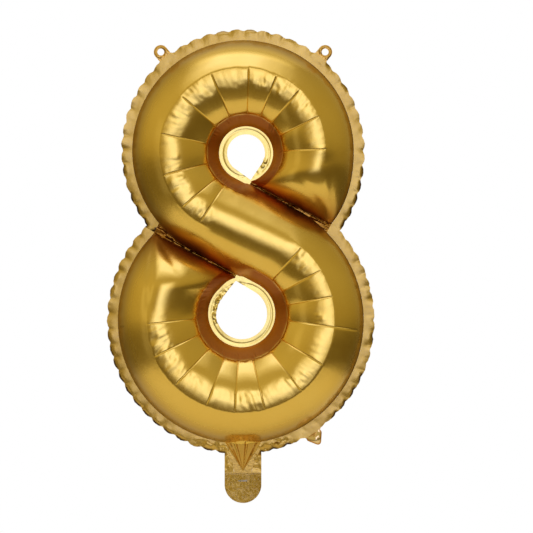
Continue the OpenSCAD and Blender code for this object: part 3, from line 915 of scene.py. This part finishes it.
def inside_of(centre, radius):
    return lambda x, z: math.hypot(x - centre[0], z - centre[1]) < radius + 0.55 * RIM_W


for name, centre, radius, field in (
    ("upper_rim", upper_c, upper_r, upper_rim_field),
    ("lower_left_rim", lower_c, lower_r, lower_rim_field),
    ("lower_right_rim", lower_c, lower_r, lower_rim_field),
):
    # Painted shade along each rim's outer edge, under its curled lobes
    curl = (CURL_PAINTED_SHADE, CURL_SHADE_W, inside_of(centre, radius))
    relief_piece(name, f"{name}_weld", "balloon", RIM_CELL, field, weld_mat, curl)


def hole_field(centre, radius, tip_a, seed, rough_from, rough_to):
    """A hole's weld: a shallow pressed line, gathers towards the tip, and a stretch with a ragged edge."""
    tip = centre + radius * unit(tip_a)

    def field(x, z):
        dx, dz = x - centre[0], z - centre[1]
        r = np.hypot(dx, dz)
        inward = np.clip((radius - r) / (15 * MM), 0, 1)
        near_tip = step_up(40 * MM - np.hypot(x - tip[0], z - tip[1]), 0, 30 * MM)
        dy = 0.5 * MM * np.exp(-(((inward - 0.42) / 0.08) ** 2))
        dy += 0.4 * MM * inward * noise(x / (30 * MM), z / (30 * MM), seed)
        dy += 0.5 * MM * near_tip * ease(inward * 3) * noise(x / (6 * MM), z / (6 * MM), seed + 1)
        a = np.degrees(np.arctan2(dz, dx)) % 360
        ragged = window(a, rough_from, rough_to, 12) * step_up(inward, 0.35, 0.9)
        dy += 1.6 * MM * ragged * noise(x / (4 * MM), z / (4 * MM), seed + 2)
        bites = 1.4 * MM * noise(a / 5.5, 0.5, seed + 3) - 0.9 * MM * np.abs(noise(a / 11, 0.5, seed + 4))
        pull = ragged * bites
        return pull * dx / r, dy, pull * dz / r

    return field


relief_piece(
    "upper_hole_rim", "upper_hole_weld", "balloon", HOLE_CELL,
    hole_field(upper_hole_c, upper_hole_r, TIP_A, 101, 318, 338), hole_weld_painted_light_mat,
)
relief_piece(
    "lower_hole_rim", "lower_hole_weld", "balloon", HOLE_CELL,
    hole_field(lower_hole_c, lower_hole_r, TIP_A + 180, 107, 128, 195), hole_weld_painted_light_mat,
)


def waist_field(h_low, h_high, seed):
    """The film in a slit: crumpled, less so at its edges."""

    def field(x, z):
        h = x * across[0] + z * across[1]
        s = x * along[0] + z * along[1]
        share = np.clip((h - h_low) / (h_high - h_low), 0, 1)
        inside = mix(0.55, 1.0, np.sin(np.pi * share) ** 0.7)
        dy = inside * 2.2 * MM * noise(s / (21 * MM), h / (2.3 * MM), seed)
        dy += inside * 1.3 * MM * noise(s / (6 * MM), h / (4 * MM), seed + 1)
        return 0 * x, dy, 0 * x

    return field


relief_piece(
    "right_waist", "right_waist_weld", "balloon", WAIST_CELL,
    waist_field(band_top, upper_end_h, 113), slit_painted_shade_mat,
)
relief_piece(
    "left_waist", "left_waist_weld", "balloon", WAIST_CELL,
    waist_field(lower_end_h, band_bottom, 127), slit_painted_shade_mat,
)


# ---------------------------------------------------------------- neck
NECK_COLS, NECK_ROWS = 81, 70


def make_neck(name, node, side, material):
    """The film over the channel: a funnel at the top, flat at the fold."""
    lo, hi = corners(node)
    low_half = (hi[0] - lo[0]) / 2 - 10 * MM
    rows = []
    for t in np.linspace(0, 1, NECK_ROWS):
        half = mix(low_half, FUNNEL_W, ease(t * 1.1))
        x = np.linspace(-half, half, NECK_COLS)
        weld = lower_c[1] - np.sqrt(lower_r**2 - (x - lower_c[0]) ** 2)
        z = mix(lo[2], weld, t)
        rows.append(np.stack([x, side * (BASE + 0.1 * MM + funnel(x, z)), z], axis=-1))
    faces = grid_faces(NECK_ROWS, NECK_COLS)
    if side > 0:
        faces = faces[:, ::-1]
    return mesh_piece(name, np.concatenate(rows), faces, "balloon", material, [node])


make_neck("neck_front", "neck_front_film", -1, neck_mat)
make_neck("neck_back", "neck_back_film", 1, neck_mat)


# ---------------------------------------------------------------- tail
def crinkle(x, z):
    """The tail's crumpled relief, which dies out at its fold."""
    down = fold_z - z
    grow = step_up(down, 0.5 * MM, 7 * MM)
    dy = 1.1 * MM * noise(x / (9 * MM), z / (8 * MM), 131)
    dy = dy + 0.7 * MM * noise(x / (4 * MM), z / (3.6 * MM), 137)
    fold = 0.5 * MM * np.exp(-(((down - 4 * MM) / (1.2 * MM)) ** 2))
    bow = -2.2 * MM * step_up(down, 8 * MM, 50 * MM)
    meet = FOLD_GAP * (1 - step_up(down, 0.3 * MM, 5 * MM))
    return 0 * x, grow * dy - fold + bow, meet


TAIL_PIECES = (
    ("tail_front", "tail_front_film", tail_mat, "neck_foil"),
    ("tail_back", "tail_back_film", tail_mat, "neck_foil"),
    ("tail_edge", "tail_edge_weld", tail_mat, "welded_foil"),
    ("tail_valve_front", "tail_valve_front_film", valve_mat, "valve_film"),
    ("tail_valve_back", "tail_valve_back_film", valve_mat, "valve_film"),
)
for name, node, material, slot_name in TAIL_PIECES:
    relief_piece(name, node, "tail", TAIL_CELL, crinkle, material)


# ---------------------------------------------------------------- tabs
def tab_field(fold, out, eyelet, seed):
    """A hanging tab: a pressed ring round the eyelet, and creases that run from the fold."""

    def field(x, z):
        u, v = from_fold(x, z, fold, out)
        r = np.hypot(x - eyelet[0], z - eyelet[1])
        grow = step_up(u, 0.3 * MM, 4 * MM)
        dy = -0.6 * MM * np.exp(-(((r - 9.6 * MM) / (1.6 * MM)) ** 2))
        dy += 0.9 * MM * noise(v / (5 * MM), u / (12 * MM), seed) * (1 - step_up(u, 8 * MM, 16 * MM))
        dy += 0.9 * MM * (u / (20 * MM)) ** 2
        meet = FOLD_GAP * (1 - step_up(u, 0.3 * MM, 4 * MM))
        return -meet * out[0], grow * dy, -meet * out[1]

    return field


def lower_tab_field(x, z):
    """The lower tab: puffed towards the front, narrower at its end, and with full painted shade along its edge."""
    u, v = from_fold(x, z, lower_fold, lower_out)
    end = u.max()
    dy = -4.0 * MM * np.sin(np.pi * np.clip(u / end, 0, 1)) * np.clip(1 - (v / (15 * MM)) ** 2, 0, 1)
    dy += 0.3 * MM * noise(v / (4 * MM), u / (7 * MM), 151) * step_up(u, 0.3 * MM, 4 * MM)
    narrow = -0.24 * v * np.clip((u - 0.2 * end) / (0.8 * end), 0, 1) ** 2
    meet = FOLD_GAP * (1 - step_up(u, 0.3 * MM, 4 * MM))
    dx, dz = narrow * -lower_out[1] - meet * lower_out[0], narrow * lower_out[0] - meet * lower_out[1]
    return dx, dy, dz, 1 + 0 * x


for which, fold, out in (("left", left_fold, left_out), ("right", right_fold, right_out)):
    eyelet = flat(MOUNTS[f"eyelet_{which}"]["pos_m"])
    relief_piece(
        f"{which}_tab", f"{which}_hanging_tab", f"{which}_tab", TAB_CELL,
        tab_field(fold, out, eyelet, 141), tab_mat,
    )


def at_lower_fold(x, z):
    return from_fold(x, z, lower_fold, lower_out)[0] < 1.5 * MM


# Painted shade along the lower tab's edge
relief_piece(
    "bottom_tab", "lower_tab", "bottom_tab", TAB_CELL, lower_tab_field, lobe_painted_highlight_mat,
    (LOBE_EDGE_PAINTED_SHADE, LOBE_SHADE_W, at_lower_fold),
)

# ---------------------------------------------------------------- the valve inside the chamber and the neck
for node in ("valve_front_film", "valve_back_film", "valve_left_weld", "valve_right_weld"):
    data = frame["nodes"][node].data
    data.materials.clear()
    data.materials.append(valve_mat)


# ---------------------------------------------------------------- floor, light and camera
FLOOR_SIZE, FLOOR_DROP = 2.1, 0.22


def stage_floor():
    z = CAD_BOX[0][2] - FLOOR_DROP
    bpy.ops.mesh.primitive_plane_add(size=FLOOR_SIZE, location=(0, 0.2, z))
    floor = bpy.context.object
    floor.name = "floor"
    m, nt, bsdf = new_material("floor_paper")
    where = object_coords(nt)
    nt.links.new(
        ramp(nt, noise_node(nt, where, 3.0), [(0.3, (0.86, 0.81, 0.64)), (0.7, (0.88, 0.83, 0.67))]),
        bsdf.inputs["Base Color"],
    )
    bsdf.inputs["Roughness"].default_value = 0.9
    bsdf.inputs["Emission Color"].default_value = (1, 0.97, 0.92, 1)
    bsdf.inputs["Emission Strength"].default_value = 0.19
    floor.data.materials.append(m)


def softbox(name, at, size, brightness, colour=(1, 1, 1)):
    """A rectangular light aimed at the balloon's middle; brightness 1 is white paper's."""
    data = bpy.data.lights.new(name, "AREA")
    data.shape = "RECTANGLE"
    data.size, data.size_y = size
    data.energy = brightness * math.pi * size[0] * size[1]
    data.color = colour
    ob = bpy.data.objects.new(name, data)
    ob.location = at
    ob.rotation_mode = "QUATERNION"
    ob.rotation_quaternion = (Vector((0, 0, MIDDLE_Z)) - Vector(at)).to_track_quat("-Z", "Y")
    ob.visible_camera = False
    bpy.context.scene.collection.objects.link(ob)


MIDDLE_Z = (CAD_BOX[0][2] + CAD_BOX[1][2]) / 2
COOL, COOLER, COOLEST = (1.0, 1.05, 1.4), (1.0, 1.12, 2.0), (1.0, 1.22, 3.0)


def studio_lights():
    """Each softbox is a bright middle in dimmer surrounds, so its reflection has soft edges."""
    for end in (-1, 1):
        side = "front" if end < 0 else "back"
        softbox(f"{side}_box", (-0.45 * end, 7.6 * end, MIDDLE_Z + 0.7), (3.9, 4.7), 0.30, COOL)
        softbox(f"{side}_box_inner", (-0.45 * end, 7.5 * end, MIDDLE_Z + 0.75), (2.7, 3.9), 0.35, COOLER)
        softbox(f"{side}_box_middle", (-0.45 * end, 7.4 * end, MIDDLE_Z + 0.8), (1.6, 3.0), 0.32, COOLEST)
    softbox("top_front_box", (-0.1, -0.8, MIDDLE_Z + 1.98), (2.4, 2.2), 0.22, COOL)
    softbox("top_front_box_inner", (-0.1, -0.72, MIDDLE_Z + 1.9), (1.7, 1.5), 0.28, COOLER)
    softbox("top_front_box_middle", (-0.12, -0.66, MIDDLE_Z + 1.84), (1.0, 0.95), 0.30, COOLEST)
    softbox("top_box", (0, 0.2, MIDDLE_Z + 2.1), (2.2, 1.4), 0.24)
    softbox("left_box", (-2.3, -1.95, MIDDLE_Z), (0.8, 2.2), 0.13)
    softbox("top_back_box", (0.1, 0.95, MIDDLE_Z + 1.8), (2.2, 1.1), 0.20, COOL)


def studio_world():
    """A pale backdrop for the camera; reflections see a dim room with a darker band below the horizon."""
    world = bpy.data.worlds.new("studio")
    bpy.context.scene.world = world
    world.use_nodes = True
    nt = world.node_tree
    where = nt.nodes.new("ShaderNodeTexCoord").outputs["Generated"]
    split = nt.nodes.new("ShaderNodeSeparateXYZ")
    nt.links.new(where, split.inputs["Vector"])
    height = nt.nodes.new("ShaderNodeMapRange")
    height.inputs["From Min"].default_value = -1
    nt.links.new(split.outputs["Z"], height.inputs["Value"])
    room = ramp(
        nt,
        height.outputs["Result"],
        [
            (0.0, (0.28, 0.23, 0.12)),
            (0.20, (0.23, 0.185, 0.09)),
            (0.32, (0.15, 0.115, 0.045)),
            (0.44, (0.17, 0.13, 0.05)),
            (0.52, (0.42, 0.34, 0.14)),
            (0.70, (0.50, 0.42, 0.20)),
            (1.0, (0.42, 0.36, 0.20)),
        ],
    )
    background = nt.nodes["Background"]
    nt.links.new(room, background.inputs["Color"])
    side = nt.nodes.new("ShaderNodeMapRange")
    side.inputs["From Min"].default_value = -1
    side.inputs["To Min"].default_value = 1.12
    side.inputs["To Max"].default_value = 0.80
    nt.links.new(split.outputs["X"], side.inputs["Value"])
    nt.links.new(side.outputs["Result"], background.inputs["Strength"])
    paper = nt.nodes.new("ShaderNodeBackground")
    paper.inputs["Color"].default_value = (1, 1, 1, 1)
    path = nt.nodes.new("ShaderNodeLightPath")
    both = nt.nodes.new("ShaderNodeMixShader")
    nt.links.new(path.outputs["Is Camera Ray"], both.inputs["Fac"])
    nt.links.new(background.outputs["Background"], both.inputs[1])
    nt.links.new(paper.outputs["Background"], both.inputs[2])
    nt.links.new(both.outputs["Shader"], nt.nodes["World Output"].inputs["Surface"])


CAMERA_DISTANCE = 6.0
VIEW_WIDTH = 0.986  # of the view, at the balloon
VIEW_MIDDLE = (0.0435, -0.3968)  # X and Z


def camera():
    data = bpy.data.cameras.new("camera")
    data.lens = data.sensor_width * CAMERA_DISTANCE / VIEW_WIDTH
    data.clip_end = 60
    ob = bpy.data.objects.new("camera", data)
    ob.location = (VIEW_MIDDLE[0], -CAMERA_DISTANCE, VIEW_MIDDLE[1])
    ob.rotation_euler = (math.pi / 2, 0, 0)
    bpy.context.scene.collection.objects.link(ob)
    bpy.context.scene.camera = ob


stage_floor()
studio_lights()
studio_world()
camera()
bpy.context.scene.view_settings.view_transform = "Standard"
